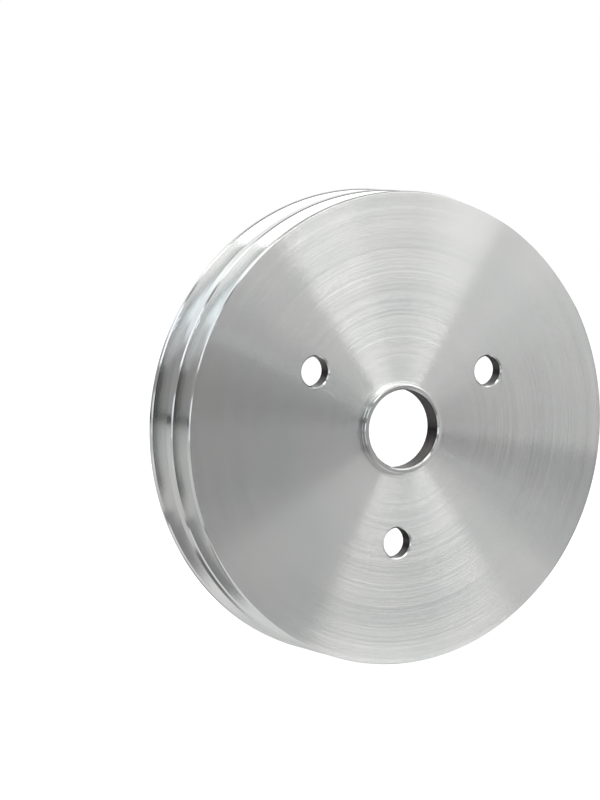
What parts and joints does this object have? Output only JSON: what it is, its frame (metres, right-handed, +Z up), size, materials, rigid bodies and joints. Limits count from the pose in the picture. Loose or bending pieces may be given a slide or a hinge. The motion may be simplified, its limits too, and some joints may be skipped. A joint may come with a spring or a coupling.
{
  "type": "v-belt pulley",
  "caption": "Turned aluminium V-belt crankshaft pulley: flat web with a raised centre collar and bolt holes, hollow back, and V grooves round the rim.",
  "frame": {"origin": "on the pulley's axis, in the plane where the back of the web sits on the crankshaft's damper", "axes": "+Y along the axis, from the front face towards the hollow back and the engine; +Z up, with one bolt hole straight below the axis"},
  "size_m": [0.168, 0.0333, 0.168],
  "materials": {
    "turned_aluminium": "fine lathe-turned, uncoated, satin with a circular grain"
  },
  "bodies": {
    "root": {"pulley": "turned_aluminium"}
  },
  "joints": []
}
